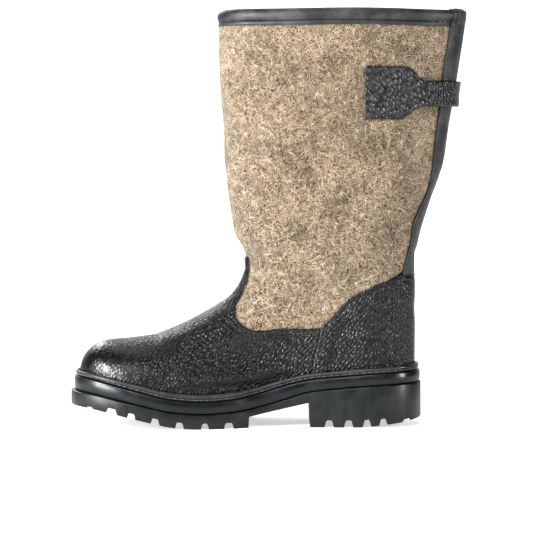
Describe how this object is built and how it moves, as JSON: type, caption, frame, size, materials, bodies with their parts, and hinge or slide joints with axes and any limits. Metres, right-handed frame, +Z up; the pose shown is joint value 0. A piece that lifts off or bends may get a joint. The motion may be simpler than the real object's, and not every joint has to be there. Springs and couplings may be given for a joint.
{
  "type": "felt-shaft winter boot",
  "caption": "Knee-low winter boot with a felt shaft, leather foot and lugged rubber sole; keeps a foot warm and dry on snow.",
  "frame": {"origin": "on the floor under the middle of the boot's outline", "axes": "+Z up the shaft, -X towards the toe, -Y towards the inner side of the foot"},
  "size_m": [0.3256, 0.111, 0.343],
  "materials": {
    "sole_rubber": "satin charcoal moulded rubber",
    "midsole_rubber": "smooth satin charcoal rubber",
    "welt_rubber": "rolled dark grey rubber rim with a row of stitches",
    "insole_board": "matt pressed wool board",
    "felt": "heathered beige and brown wool felt with curled fibres",
    "foot_leather": "black pebble-grained leather, half gloss",
    "strip_leather": "smooth dark grey leather",
    "binding_tape": "smooth dark grey leather tape",
    "strap_leather": "dark leather with a coarse slanting pebble grain"
  },
  "bodies": {
    "root": {"outsole": "sole_rubber", "midsole": "midsole_rubber", "welt": "welt_rubber", "insole": "insole_board", "upper": "felt", "vamp": "foot_leather", "counter": "foot_leather", "back_strip": "strip_leather", "collar_binding": "binding_tape", "strap": "strap_leather"}
  },
  "joints": []
}
